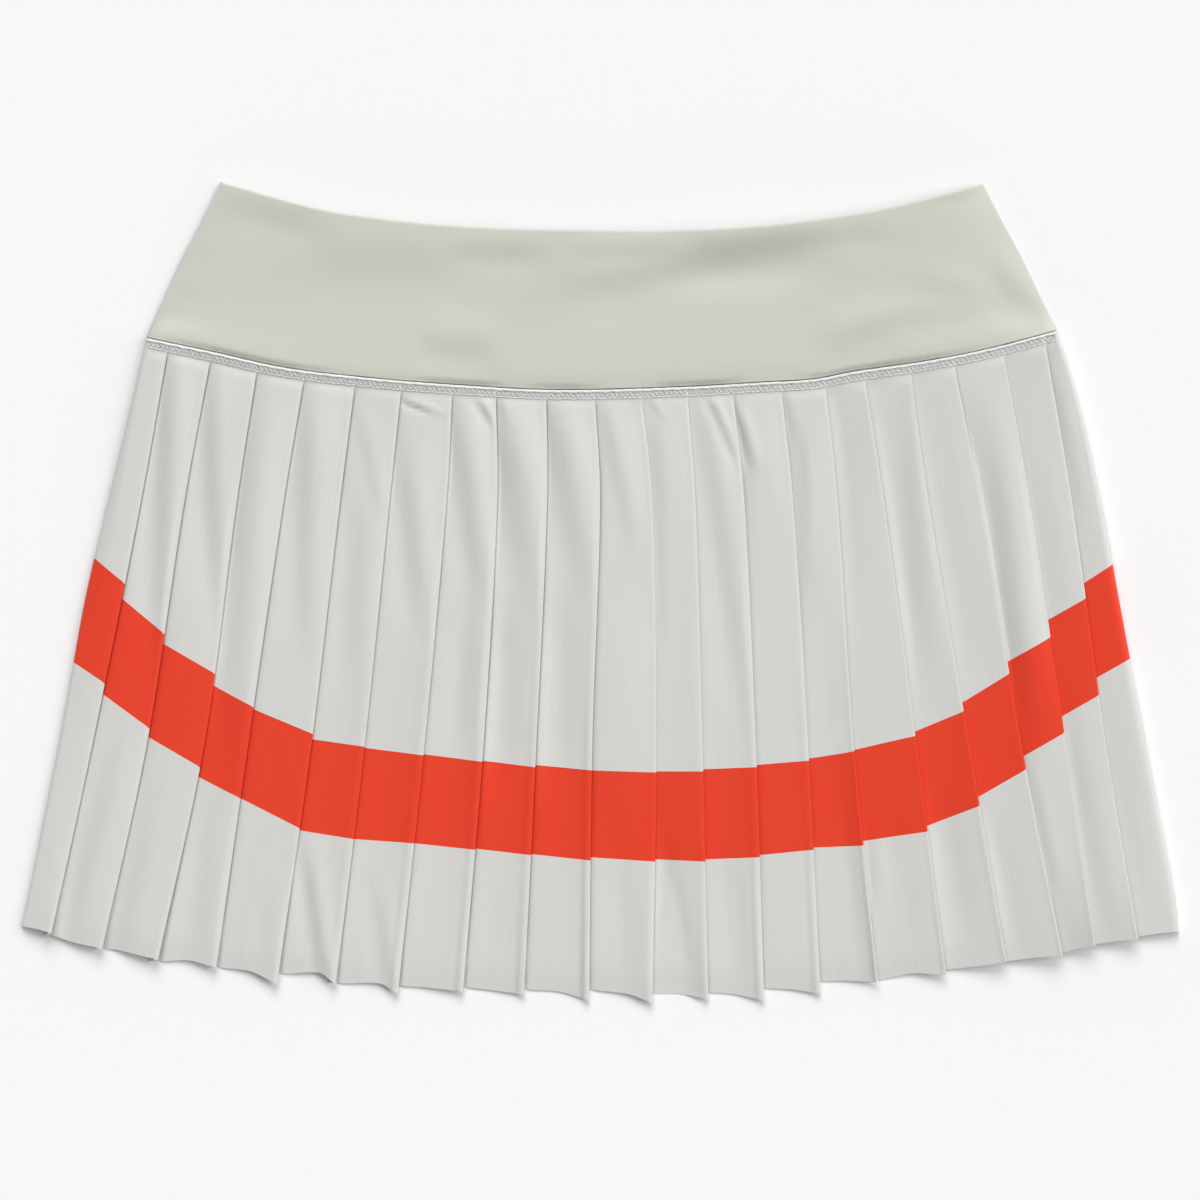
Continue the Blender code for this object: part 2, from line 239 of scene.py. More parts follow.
# The stripe's edges at the left side, at each fold and at the right side: the level of its top
# and low edges on the face that ends there, and on the next face.
STRIPE = table(
    "top next_top low next_low",
    (16, 16, -32.5, -32.5),
    (4, -3, -42.5, -47.5),
    (-19.5, -24, -63.5, -67.5),
    (-38, -43.5, -81.5, -86),
    (-53.5, -54.5, -96, -96),
    (-66, -68.5, -110, -111),
    (-72, -72.5, -115, -115),
    (-76, -75.5, -117, -117),
    (-79, -78.5, -120, -119.5),
    (-81.5, -80.5, -122.5, -122),
    (-83, -83, -125, -123.5),
    (-84, -83.5, -125.5, -124.5),
    (-83.5, -82.5, -125.5, -124.5),
    (-81.5, -80.5, -123.5, -122.5),
    (-78.5, -77.5, -120, -119),
    (-74, -73.5, -118, -116),
    (-67, -65, -111.5, -109),
    (-55.5, -51.5, -99.5, -95.5),
    (-38, -32.5, -82.5, -76.5),
    (-21, -13, -65.5, -58),
    (-3, 4, -48, -40),
    (13, 13, -31, -31),
)

# The form of each face. waist, upper, middle and low are how far it swells over the straight line
# between its folds at the shares below, and a negative value sinks. At the hem its cut edge
# rises over the straight line between its ends, most at a share of the way across.
FORM_SHARES = (0.0, 0.1, 0.27, 0.45, 0.87, 1.0)
FACE_FORMS = table(
    "waist upper middle low rise place",
    (0.2, 0.1, 0, 0, 0.2, 0.5),
    (0.9, -0.3, 0, 0, -0.6, 0.4),
    (0.6, -0.6, 0.5, 0, 0.6, 0.25),
    (0.5, 1.2, -0.3, -0.3, 1.8, 0.5),
    (1.4, 0, 0, -0.2, 2.1, 0.55),
    (0.5, 0, -0.5, -0.5, 3.4, 0.72),
    (0.9, 0.2, -0.5, -0.9, 2.9, 0.7),
    (1, 0.3, -0.8, -0.6, 0.4, 0.3),
    (1.7, 0.3, 0, -0.6, 0.2, 0.5),
    (1.4, 0, -0.5, -0.4, 1.5, 0.53),
    (1.2, 0, 0.6, -0.4, 1.4, 0.6),
    (0.8, 0.2, -0.2, -0.2, 0.9, 0.5),
    (0.5, -0.2, -0.5, -0.5, 0.8, 0.4),
    (1, 0.1, -0.2, 0, 0.6, 0.5),
    (0.7, 0.7, -0.3, -0.6, 0.5, 0.4),
    (-0.3, 0.1, 0, 0, 1.9, 0.5),
    (0.2, 0.2, -0.2, -0.7, -0.4, 0.6),
    (0, 0.1, -0.3, -0.3, 0.3, 0.5),
    (0.6, 0.3, 0.9, 0, 0.2, 0.4),
    (0, 0.2, 0.2, 0, 0.2, 0.5),
    (0.5, 0.2, 0, 0, 0.2, 0.5),
)
HEM_BEND_POWER = 9

# Soft waves in the faces. The rising wall of each runs from a share of the way across its face
# at one level to a share at a lower level, with a trough left of it and a ridge right of it, or
# with ridge 0 only a wide trough. Between 0 and 1 it is part one and part the other.
CREASES = table(
    "face level share low_level low_share width depth ridge",
    (0, 45, 0.1, -10, 0.25, 7, 0.5),
    (1, 108, 0.1, -25, 0.92, 12, 2.4),
    (1, -70, 0.45, -160, 0.3, 14, 2),
    (2, 98, 0.1, 0, 0.85, 11, 1.9),
    (2, -90, 0.3, -172, 0.3, 14, 1.2),
    (3, 88, 0.15, -60, 0.45, 16, 2),
    (3, -100, 0.45, -170, 0.7, 14, 1.2),
    (4, 84, 0.2, -14, 0.62, 12, 1.9),
    (4, -140, 0.7, -182, 0.85, 11, 0.7),
    (5, 78, 0.25, 38, 0.8, 8, 0.8),
    (5, 40, 0.46, -30, 0.55, 12, 1.3),
    (5, -122, 0.18, -186, 0.85, 9, 2),
    (6, 60, 0.22, -10, 0.68, 13, 2.1),
    (6, 89.2, 0.05, 83.8, 0.62, 8, 2.2),
    (6, -140, 0.5, -188, 0.88, 9, 1.2),
    (7, 78, 0.14, 2, 0.72, 14, 2.5),
    (7, -8, 0.64, -70, 0.7, 12, 1.4),
    (7, 91, 0.55, 77, 0.93, 6, 1.6),
    (8, 76, 0.18, 0, 0.66, 22, 3.1),
    (8, -12, 0.62, -85, 0.66, 24, 2.4, 0),
    (8, 90, 0.1, 76, 0.18, 5, 0.6),
    (9, 82, 0.14, 5, 0.66, 18, 2.3),
    (9, -8, 0.62, -86, 0.74, 22, 2, 0),
    (10, 88, 0.14, 25, 0.55, 9, 0.9),
    (10, -120, 0.6, -188, 0.75, 16, 0.9),
    (11, 90, 0.14, 80, 0.4, 4, 0.5),
    (11, 84, 0.24, -25, 0.14, 7, 0.5),
    (11, -122, 0.28, -188, 0.85, 17, 2.2, 0),
    (12, 86, 0.25, -48, 0.8, 12, 1.2),
    (12, 92, 0.45, 62, 0.92, 5, 1.6),
    (12, -125, 0.6, -186, 0.75, 16, 1),
    (13, 84, 0.03, 60, 0.2, 6.5, 2.3),
    (14, 92, 0.08, 70, 0.18, 6, 0.7),
    (14, 72, 0.36, 8, 0.12, 8, 0.7),
    (14, -100, 0.8, -180, 0.85, 9, 0.7),
    (15, 92, 0.5, -10, 0.45, 16, 0.5, 0),
    (15, -112, 0.14, -145, 0.1, 6, 0.8),
    (15, -100, 0.65, -170, 0.75, 16, 0.7, 0),
    (16, 84, 0.82, -30, 0.42, 16, 1.8, 0.5),
    (16, -100, 0.55, -165, 0.6, 14, 0.9, 0),
    (17, 82, 0.55, -30, 0.6, 16, 0.5, 0),
    (17, -110, 0.45, -165, 0.5, 16, 0.6, 0),
    (18, 62, 0.4, -46, 0.22, 17, 2.7),
    (18, -85, 0.08, -140, 0.15, 8, 0.8),
    (19, 50, 0.35, -16, 0.4, 14, 0.4),
    (19, -60, 0.25, -155, 0.4, 14, 0.8),
    (20, 92, 0.12, 40, 0.2, 8, 0.6),
    (20, -40, 0.3, -150, 0.35, 12, 0.3),
    defaults=(1,),
)

# A wave's slopes as a share of its width, and a wide trough's own two slopes. How far past its
# ends a wave fades out, and within what width it dies down beside its face's two folds.
SLOPE_SHARE = 0.4
TROUGH_LEFT = 1.8
TROUGH_RIGHT = 1.1
CREASE_FADE = 0.3
CREASE_START = 1.5
TROUGH_START = 5.0
CREASE_END = 3.8

# Where the columns of the pleated cloth stand: distances from the face's two ends, shares of
# the way between them, and steps round each fold.
NEAR_LEFT = (0.0, 0.4, 0.8, 1.3, 2.2, 3.8)
NEAR_SIDE = (0.0, 0.1, 0.35, 0.8, 1.5, 2.3, 3.2)
NEAR_RIGHT = (5.6, 4.4, 3.4, 2.6, 1.9, 1.3, 0.6)
MIDDLE_STEPS = 7
TURN_STEPS = 5
INNER_STEPS = 3

# The share of the cloth between two faces that lies in each of its two turns.
TURN_SHARE = 0.1

# The rows of the pleated cloth: how many there are down to each share of the way.
ROW_BANDS = table("end rows", (0.07, 12), (0.35, 19), (0.8, 22), (1, 20))

# The waistband's top edge and its side edges from the seam up, with the places in these tables of
# the left and top sides of its solid.
BAND_LEFT = -212.5
BAND_HIGHEST = 191.3
BAND_TOP = table(
    "across level",
    (-177.5, 190.8), (-132, 178.2), (-101, 173.2), (-58, 169.4), (0, 167.9), (28.5, 167.7),
    (71.5, 169.6), (99.5, 172.8), (135.5, 178.5), (178.5, 189.8),
)
BAND_SIDES = table(
    "left left_level right right_level",
    (-211.2, 118.5, 212.8, 121.5),
    (-204.2, 134.5, 203.8, 140.5),
    (-195.2, 154, 195.3, 158),
    (-185.6, 172.5, 186.4, 174.5),
    (-176.5, 190.8, 178.5, 189.8),
)

# The middle of the front waistband's wall over the place where it lies on the back one.
BAND_HEIGHTS = table(
    "share height",
    (0, 3.5), (0.08, 3.8), (0.4, 2.7), (0.65, 3), (0.9, 3.75), (1, 3.85),
)
BAND_FRONT_LOWEST = 2.1
BAND_SIDE_MEETING = 0.85
BAND_EDGE_POWER = 16

# How far up the waistband keeps to the height of the strip, how sharply it then falls at its ends,
# and how far it lies over the strip.
SEAM_REACH = 7.0
SEAM_EDGE_POWER = 80
SEAM_STEP = 0.2

# The waistband's rows and columns, how round its edges are, and how near two of their points
# become one, as a share of its thickness.
BAND_ROW_BANDS = table("end rows", (0.08, 12), (0.95, 34), (1, 6))
BAND_COLUMN_BANDS = table("end rows", (0.012, 9), (0.988, 150), (1, 9))
BAND_ROUNDING = 0.7
MERGE_SHARE = 0.001

# How far the waistband swells over the seam, from 0 where it lies down to 1. A full swell dips by
# SWELL_DROP at the seam itself.
SWELLS = table(
    "across share",
    (-212, 0.3), (-184, 0.9), (-163, 1), (-140, 0.9), (-121, 0.55), (-93, 0.5), (-79, 0.9),
    (-61, 1), (-49, 0.8), (-40, 0.35), (-28, 0.8), (-14, 0.9), (-2, 0.6), (7, 0.25), (19, 0.35),
    (30, 0.85), (47, 1), (61, 0.85), (69, 0.35), (89, 0.35), (101, 0.9), (140, 1), (163, 0.8),
    (186, 0.35), (212, 0.1),
)
SWELL_DROP = 1.4
SWELL_REACH = 1.8

# The share of its height that the waistband keeps towards its ends.
BAND_KEEPS = table(
    "across share",
    (-212, 0.8), (-150, 0.85), (-80, 0.95), (0, 1), (120, 0.95), (212, 0.7),
)

# Soft waves in the waistband. The wall of each, which faces the skirt, runs from one place to
# another, with a ridge above it and a trough below it.
BAND_CREASES = table(
    "across level end_across end_level width depth",
    (-12, 140.5, 48, 156, 22, 2),
    (44, 157.5, 100, 163.8, 22, 4.9),
    (36, 148.5, 98, 151.5, 15, 1),
    (94, 166, 134, 168.5, 14, 0.8),
    (-64, 159, -28, 159, 15, 1.3),
    (-10, 158, 30, 161, 11, 0.9),
    (-138, 154, -68, 153, 28, 1.2),
    (-180, 183, -128, 171, 18, 1.4),
    (-82, 115, -50, 113, 20, 2),
    (104, 113, 134, 121, 18, 2),
    (116, 124, 190, 133, 15, 1.2),
    (184, 151, 211, 128, 18, 3.4),
    (148, 142, 190, 138, 15, 1.2),
    (-196, 144, -189, 136, 10, 0.9),
    (-203, 133, -196, 130, 8, 0.6),
    (160, 182, 177, 187, 6, 0.8),
)

# The coverstitch's two needle rows: how far each lies below the seam, its width in threads, and
# how far its middle lies over the cloth as a share of its radius.
NEEDLE_ROWS = table("below width over", (0.85, 2.6, 0.25), (4.2, 0.9, 0.8))

# A needle thread wavers by ROW_WOBBLE and sinks by a share of its radius at every stitch. The
# stitches start and end STITCH_MARGIN inside the sides.
ROW_WOBBLE = 0.1
WOBBLE_TURN = 0.9
STITCH_SINK = 0.4
STITCH_MARGIN = 1.0
THREAD_STEP = 0.25

# The looper's thread swings between two shares of the way from one needle row to the other, and
# lies so many radii over the cloth by turns.
LOOPER_WIDTH = 0.9
LOOPER_SWING = (0.5, 1.0, 0.5, 0.0)
LOOPER_ENDS = (0.2, 0.9)
LOOPER_OVERS = (0.8, 1.1)

# How far outside the cloth the search for its surface starts, in metres.
RAY_START = 0.05

# The relief of each cloth as a share of its pitch, and of the thread's twist as one of its width.
YARN_RELIEF = 0.05
KNIT_RELIEF = 0.08
TWIST_RELIEF = 0.1

# A knit loop's wave beside its crown, the courses in a wale's width, and how uneven the streaks
# along the warp are.
KNIT_LOOP = 0.3
COURSES_PER_WALE = 1.3
STREAK_AMOUNT = 0.08

# Places of the camera and the stage.
CAMERA_DISTANCE = 3000.0
VIEW_WIDTH = 559.2
VIEW_MIDDLE_LEVEL = -3.73
SENSOR_WIDTH = 36.0
FLOOR_SIZE = 8000.0

# The soft lights: power, how many degrees of the sky each fills, and where it stands.
SOFTBOXES = table(
    "name power spread towards",
    ("top_softbox", 2.3, 40, (-0.05, 1, 0.78)),
    ("right_softbox", 1.6, 50, (1, 0.2, 0.7)),
    ("overhead_softbox", 0.8, 90, (0, -0.1, 1)),
)

# The studio's own light, which is brighter low down all round, up to where it fades out.
WORLD_POWER = 0.076
HORIZON_POWER = 0.865
HORIZON_FADE = (0.15, 0.25)


def smooth_value(stations, values, at):
    """The value at a station on the smooth curve through stations in rising order."""
    last = len(stations) - 1
    at = min(max(at, stations[0]), stations[last])
    i = next(k for k in range(last) if at <= stations[k + 1])

    def slope(k):
        before, after = max(k - 1, 0), min(k + 1, last)
        return (values[after] - values[before]) / (stations[after] - stations[before])

    span = stations[i + 1] - stations[i]
    rise = values[i + 1] - values[i]
    s = (at - stations[i]) / span
    start_bend = slope(i) * span - rise
    end_bend = slope(i + 1) * span - rise
    return values[i] + s * rise + s * (1 - s) * ((1 - s) * start_bend - s * end_bend)


def smooth(rows, station, value, at):
    """The value at a station on the smooth curve through a table's rows."""
    stations = [getattr(row, station) for row in rows]
    values = [getattr(row, value) for row in rows]
    return smooth_value(stations, values, at)


def mix(start, end, share):
    return start + (end - start) * share


def clamp(share):
    return min(max(share, 0.0), 1.0)


def ease(share):
    """A smooth step from 0 to 1."""
    share = clamp(share)
    return share * share * (3 - 2 * share)


def wave(distance):
    """A soft wave: a trough at -1, a ridge at 1 and 1 from the one up to the other."""
    return distance * exp((1 - distance * distance) / 2) / 2


def trough(distance):
    """A trough at -1 that rises quickly to its right and slowly to its left."""
    width = TROUGH_RIGHT if distance > -1 else TROUGH_LEFT
    return -exp(-(((distance + 1) / width) ** 2))


def crease_fade(along):
    """1 along a soft wave, falling to 0 past its two ends."""
    start = ease((along + CREASE_FADE) / (2 * CREASE_FADE))
    return start * ease((1 + CREASE_FADE - along) / (2 * CREASE_FADE))


def rolled(height, from_side, meeting):
    """A height near a side edge, rolling round to where front and back meet."""
    roll = clamp(from_side / SIDE_ROLL_WIDTH)
    return mix(min(meeting, height), height, (1 - (1 - roll) ** 2) ** 0.5)


def world_shift():
    """What to add to a place in the tables, so that it lies where the frame's waistband does."""
    low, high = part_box("waistband_front")
    return Vector((low.x - BAND_LEFT * MM, high.y - BAND_HIGHEST * MM, 0.0))


SHIFT = world_shift()


def to_world(across, level, height):
    return Vector((across * MM, level * MM, height * MM)) + SHIFT


def seam_level(across):
    return smooth(SEAM, "across", "level", across)


def strip_heights(across):
    """The stitched strip's height at the seam and at its low edge."""
    return [smooth(STRIP_HEIGHTS, "across", end, across) for end in ("high", "low")]


def side_edge(side, share):
    """(across, level) of one of the skirt's side edges at a share of the way down."""
    top = SEAM[0 if side == "left" else -1].level
    level = top + (HEM_ENDS[side] - top) * share
    return smooth(SIDES, "level", side, level), level


def fold_edge(fold, hem_level, share, facing):
    """(across, level) of a fold's visible edge at a share of the way down to a hem level.

    facing is 1 on the front and -1 on the back, whose own left is the front's right.
    """
    top = seam_level(fold.seam * facing)
    level = top + (hem_level - top) * share
    levels = (fold.tip, LOWER_LEVEL, UPPER_LEVEL, top)
    places = (fold.hem, fold.lower, fold.upper, fold.seam)
    return smooth_value(levels, places, level), level


def face_edges(number, share, facing):
    """The left and right edges of a visible face, as (across, level) at a share."""
    if number == 0:
        across, level = side_edge("left" if facing == 1 else "right", share)
        left = across * facing, level
    else:
        left = fold_edge(FOLDS[number - 1], FOLDS[number - 1].start, share, facing)
    if number == len(FOLDS):
        across, level = side_edge("right" if facing == 1 else "left", share)
        right = across * facing, level
    else:
        right = fold_edge(FOLDS[number], FOLDS[number].tip, share, facing)
    return left, right


def shares_down(bands):
    """Shares from 0 to 1, as close together as the bands say."""
    shares = [0.0]
    for band in bands:
        start = shares[-1]
        shares += [mix(start, band.end, (i + 1) / band.rows) for i in range(band.rows)]
    return shares


Column = namedtuple("Column", "face kind step")
ClothPoint = namedtuple("ClothPoint", "across level height place stripe")


def pleat_columns():
    """The columns of the pleated cloth from side to side, fold by fold."""
    columns = []
    for face in range(len(FOLDS) + 1):
        if face > 0:
            columns.append(Column(face, "hidden", 0.5))
        columns += [Column(face, "left", step) for step in (NEAR_LEFT if face > 0 else NEAR_SIDE)]
        columns += [Column(face, "middle", (i + 1) / (MIDDLE_STEPS + 1)) for i in range(MIDDLE_STEPS)]
        if face == len(FOLDS):
            columns += [Column(face, "right", step) for step in reversed(NEAR_SIDE)]
            break
        columns += [Column(face, "right", step) for step in NEAR_RIGHT]
        columns += [Column(face, "turn", i / TURN_STEPS) for i in range(TURN_STEPS + 1)]
        columns.append(Column(face, "under", 0.5))
        columns += [Column(face, "inner", i / INNER_STEPS) for i in range(INNER_STEPS + 1)]
    return columns


class PleatedRow:
    """One row of the pleated cloth across the skirt, at a share of the way down.

    Heights are those of the middle of the cloth, towards the skirt's outside. free and loose grow
    from 0 in the stitched strip to 1 below it, and settled from 0 to 1 next to the hem.
    """

    def __init__(self, share, facing, sizes):
        self.share = share
        self.facing = facing
        self.sizes = sizes
        self.half = sizes.cloth_thickness / MM / 2
        self.edges = [face_edges(face, share, facing) for face in range(len(FOLDS) + 1)]
        below_seam = share * MIDDLE_LENGTH
        self.free = ease((below_seam - STRIP_END) / (PLEATS_FREE - STRIP_END))
        self.loose = ease((below_seam - STRIP_END) / LOOSE_WIDTH)
        self.strip = min(below_seam / STRIP_END, 1.0) ** 2
        self.lift = sizes.hem_lift * share**HEM_LIFT_POWER
        self.drop = smooth(BASE_DROPS, "share", "drop", share)
        self.fall = ease(share / FALL_WIDENS) ** 2
        self.settled = ease((share - SETTLE_START) / (1 - SETTLE_START))
        self.lowest = mix(FRONT_LOWEST, self.half, self.settled)

    def pressed(self, fold, what):
        """A fold's edge or start height, or its step, at this row."""
        pressing = PRESSINGS[fold]
        share = self.share**STEP_POWER if what == "step" else self.share
        return mix(getattr(pressing, what), getattr(pressing, what + "_hem"), share)

    def layers(self, fold):
        """The heights of a fold's edge, its underlay's two ends and the next face's start."""
        if self.facing == -1:
            return 2 * BACK_SPACE, BACK_SPACE, BACK_SPACE, 0.0
        high, low = strip_heights(FOLDS[fold].seam)
        strip = mix(high, low, self.strip)
        start = mix(strip - STRIP_STEP, self.pressed(fold, "start"), self.free)
        edge = mix(strip + STRIP_STEP, self.pressed(fold, "edge"), self.free)
        edge += self.lift * PRESSINGS[fold].lift
        under = (edge + start) / 2
        if fold >= FIRST_NEAR_STEP:
            under = max(under, edge - 2 * TIGHT_TURN)
        return edge, under, start + min(PRESSED, (edge - start) / 2), start

    def step_place(self, fold):
        """How far from a fold's edge its face climbs onto the fold's layers."""
        return STEP_PLACE if fold < FIRST_NEAR_STEP else NEAR_STEP_PLACE

    def turn_radius(self, fold):
        edge, under, _, _ = self.layers(fold)
        return (edge - under) / 2

    def point(self, column, miss):
        """Where a column's cloth lies in this row, with its height over the floor.

        miss is how far above the column's own top the waist seam runs.
        """
        point = self.free_point(column)
        level = point.level + miss * (1 - self.share)
        if self.facing == -1:
            height = self.half + 2 * BACK_SPACE - point.height + BACK_STRIP_LIFT * (1 - self.loose)
        else:
            base = self.base_at(point.across)
            lowest = max(min(self.lowest, base), self.half)
            over = base + point.height - lowest
            height = lowest + (over + hypot(over, FLOOR_SOFTENS)) / 2
        return point._replace(level=level, height=height)

    def free_point(self, column):
        """A column's place in this row before the top is fitted to the seam."""
        if column.kind in ("turn", "under", "inner"):
            return self.fold_point(column)
        return self.face_point(column)

    def base_at(self, across):
        """The front's base, which falls towards both sides of the skirt."""
        base = mix(FRONT_BASE, smooth(HEM_BASES, "across", "height", across), self.drop)
        left_fall = mix(FALL_START_WIDTH, LEFT_FALL_WIDTH, self.fall)
        right_fall = mix(FALL_START_WIDTH, RIGHT_FALL_WIDTH, self.fall)
        from_left = (across - self.edges[0][0][0]) / left_fall
        from_right = (self.edges[-1][1][0] - across) / right_fall
        inside = clamp(min(from_left, from_right))
        return mix(min(SIDE_BASE, base), base, 1 - (1 - inside) ** 2)

    def face_across(self, column):
        """How far across a face's point lies."""
        face = column.face
        (left, _), (right, _) = self.edges[face]
        if face < len(FOLDS):
            right -= self.half + self.turn_radius(face)
        if column.kind == "hidden":
            return left - FOLDS[face - 1].depth * column.step
        if column.kind == "left":
            return left + column.step
        if column.kind == "right":
            return right - column.step
        start = (NEAR_LEFT if face > 0 else NEAR_SIDE)[-1]
        end = NEAR_RIGHT[0] if face < len(FOLDS) else NEAR_SIDE[-1]
        return mix(left + start, right - end, column.step)

    def face_point(self, column):
        """A point on a face, or on the cloth hidden next to its left fold."""
        face = column.face
        (left, left_level), (right, right_level) = self.edges[face]
        across = self.face_across(column)
        inside = clamp((across - left) / (right - left))
        form = FACE_FORMS[face]
        rise = ease(inside / form.place if inside < form.place else (1 - inside) / (1 - form.place))
        level = mix(left_level, right_level, inside) + form.rise * rise * self.share**HEM_BEND_POWER
        if self.facing == 1:
            height = self.front_height(face, level, across, left, right)
            meeting = SIDE_MEETING + self.half - self.base_at(across)
        else:
            out = ease((across - left) / BACK_RISE_WIDTH) if face > 0 else 1.0
            height = 2 * BACK_SPACE * out
            meeting = 2 * (self.half + BACK_SPACE) - SIDE_MEETING
        if face == 0:
            height = rolled(height, across - left, meeting)
        if face == len(FOLDS):
            height = rolled(height, right - across, meeting)
        middle = (left + right) / 2
        place = face * self.sizes.pleat_cut / MM + across - middle
        return ClothPoint(across, level, height, place, self.stripe(face, inside, level))

    def front_height(self, face, level, across, left, right):
        """A face's form: out from under one fold, swelling or sinking, and up onto the next."""
        start, bank = SIDE_START, 0.0
        if face > 0:
            bank = PRESSINGS[face - 1].bank * self.free
            start = self.layers(face - 1)[3] + bank
        from_edge = right - across
        if face == len(FOLDS):
            flank, step, reach, lift = SIDE_CLIMB, 0.0, 0.0, 0.0
        else:
            lift = self.lift * PRESSINGS[face].lift
            step = self.pressed(face, "step") * self.free
            gain = 1 + TOP_CROWN * (1 - self.share) ** TOP_CROWN_POWER
            crown = PRESSINGS[face].crown * self.free * gain
            flank = self.layers(face)[0] - lift + crown - step
            reach = self.step_place(face)
        climb = clamp((across - left) / (right - left - reach))
        inside = clamp((across - left) / (right - left))
        form = FACE_FORMS[face]
        forms = (0.0, form.waist, form.upper, form.middle, form.low, 0.0)
        swell = smooth_value(FORM_SHARES, forms, self.share) * self.loose
        height = mix(start, flank, climb) + swell * 4 * climb * (1 - climb)
        height += lift * inside**TIP_LIFT_POWER
        bank_width = mix(BANK_WIDTH, BANK_HEM_WIDTH, self.share)
        height -= bank * (1 - clamp((across - left) / bank_width)) ** 2
        if face < len(FOLDS):
            height += step * ease((reach + STEP_WIDTH / 2 - from_edge) / STEP_WIDTH)
            height -= crown * (1 - min(from_edge / CROWN_WIDTH, 1.0)) ** 2
        return height + self.creases(face, level, across, left, right) * self.loose

    def creases(self, face, level, across, left, right):
        """The height that a face's soft waves add at a place."""
        height = 0.0
        for crease in FACE_CREASES[face]:
            along = (crease.level - level) / (crease.level - crease.low_level)
            if -CREASE_FADE < along < 1 + CREASE_FADE:
                wall = mix(left, right, mix(crease.share, crease.low_share, along))
                fade = crease_fade(along)
                if crease.ridge < 1 and face > 0:
                    fade *= ease((across - left) / TROUGH_START)
                distance = (across - wall) / (crease.width * SLOPE_SHARE)
                height += crease.depth * fade * mix(trough(distance), wave(distance), crease.ridge)
        height *= ease((across - left) / CREASE_START) if face > 0 else 1.0
        height *= ease((right - across) / CREASE_END)
        return height * self.sizes.crease_scale

    def fold_point(self, column):
        """A point on a fold's turn, on its underlay or on the inner fold."""
        face = column.face
        fold = FOLDS[face]
        right, right_level = self.edges[face][1]
        next_level = self.edges[face + 1][0][1]
        edge, under, inner_under, start = self.layers(face)
        radius = self.turn_radius(face)
        turn = right - self.half - radius
        inner = right - fold.depth
        cut = self.sizes.pleat_cut / MM
        first = face * cut + turn - (self.edges[face][0][0] + right) / 2
        last = (face + 1) * cut + inner - sum(edge[0] for edge in self.edges[face + 1]) / 2
        angle = pi * column.step
        if column.kind == "turn":
            across = turn + radius * sin(angle)
            height = mix(edge, under, (1 - cos(angle)) / 2)
            down, along = 0.0, column.step * TURN_SHARE
        elif column.kind == "under":
            across = mix(turn, inner, column.step)
            height = mix(under, inner_under, column.step)
            down, along = column.step, mix(TURN_SHARE, 1 - TURN_SHARE, column.step)
        else:
            across = inner - (inner_under - start) / 2 * sin(angle)
            height = mix(inner_under, start, (1 - cos(angle)) / 2)
            down, along = 1.0, 1 - TURN_SHARE + TURN_SHARE * column.step
        level = mix(right_level, next_level, down)
        low = mix(STRIPE[face + 1].low, STRIPE[face + 1].next_low, along)
        top = mix(STRIPE[face + 1].top, STRIPE[face + 1].next_top, along)
        return ClothPoint(across, level, height, mix(first, last, along), (level - low) / (top - low))

    def stripe(self, face, share, level):
        """0 at the stripe's low edge and 1 at its top edge."""
        low = mix(STRIPE[face].next_low, STRIPE[face + 1].low, share)
        top = mix(STRIPE[face].next_top, STRIPE[face + 1].top, share)
        return (level - low) / (top - low)


FACE_CREASES = [[c for c in CREASES if c.face == face] for face in range(len(FACE_FORMS))]


def finished(obj, slot, *nodes):
    """The piece rides on the skirt's body and stands for its CAD nodes, which it hides. slot is not
    used.
    """
    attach(obj, BODY)
    if nodes:
        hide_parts(*nodes)
    return obj


def mesh_object(name, bm, material):
    """A smooth mesh object in the scene, in one material."""
    mesh = bpy.data.meshes.new(name)
    for face in bm.faces:
        face.smooth = True
    bm.to_mesh(mesh)
    bm.free()
    mesh.materials.append(material)
    obj = bpy.data.objects.new(name, mesh)
    bpy.context.scene.collection.objects.link(obj)
    return obj


def pleated_cloth(name, facing, sizes, material):
    """A pleated panel as one thin sheet of cloth, folded, creased and given its thickness."""
    columns = pleat_columns()
    top = PleatedRow(0.0, facing, sizes)
    tops = [top.free_point(column) for column in columns]
    misses = [seam_level(point.across * facing) - point.level for point in tops]
    rows = []
    reach = 1.0 if facing == 1 else 1 - BACK_HEM_SHORTER / MIDDLE_LENGTH
    for share in shares_down(ROW_BANDS):
        row = PleatedRow(share * reach, facing, sizes)
        rows.append([row.point(column, miss) for column, miss in zip(columns, misses)])
    places, stripes = {}, {}
    bm = bmesh.new()
    bmesh.ops.create_grid(bm, x_segments=len(columns) - 1, y_segments=len(rows) - 1, size=1.0)
    for vert in bm.verts:
        column = round((vert.co.x + 1) / 2 * (len(columns) - 1))
        row = round((1 - vert.co.y) / 2 * (len(rows) - 1))
        point = rows[row][column]
        vert.co = to_world(point.across * facing, point.level, point.height)
        places[vert.index] = (point.place * MM, point.level * MM)
        stripes[vert.index] = point.stripe
    if facing == -1:
        bmesh.ops.reverse_faces(bm, faces=bm.faces)
    for edge in bm.edges:
        edge.smooth = not edge.is_boundary
    layer = bm.loops.layers.uv.new("cloth")
    for face in bm.faces:
        for loop in face.loops:
            loop[layer].uv = places[loop.vert.index]
    obj = mesh_object(name, bm, material)
    attribute = obj.data.attributes.new("stripe", "FLOAT", "POINT")
    attribute.data.foreach_set("value", [stripes[i] for i in range(len(stripes))])
    wall = obj.modifiers.new("cloth thickness", "SOLIDIFY")
    wall.thickness = sizes.cloth_thickness
    wall.offset = 0.0
    return obj


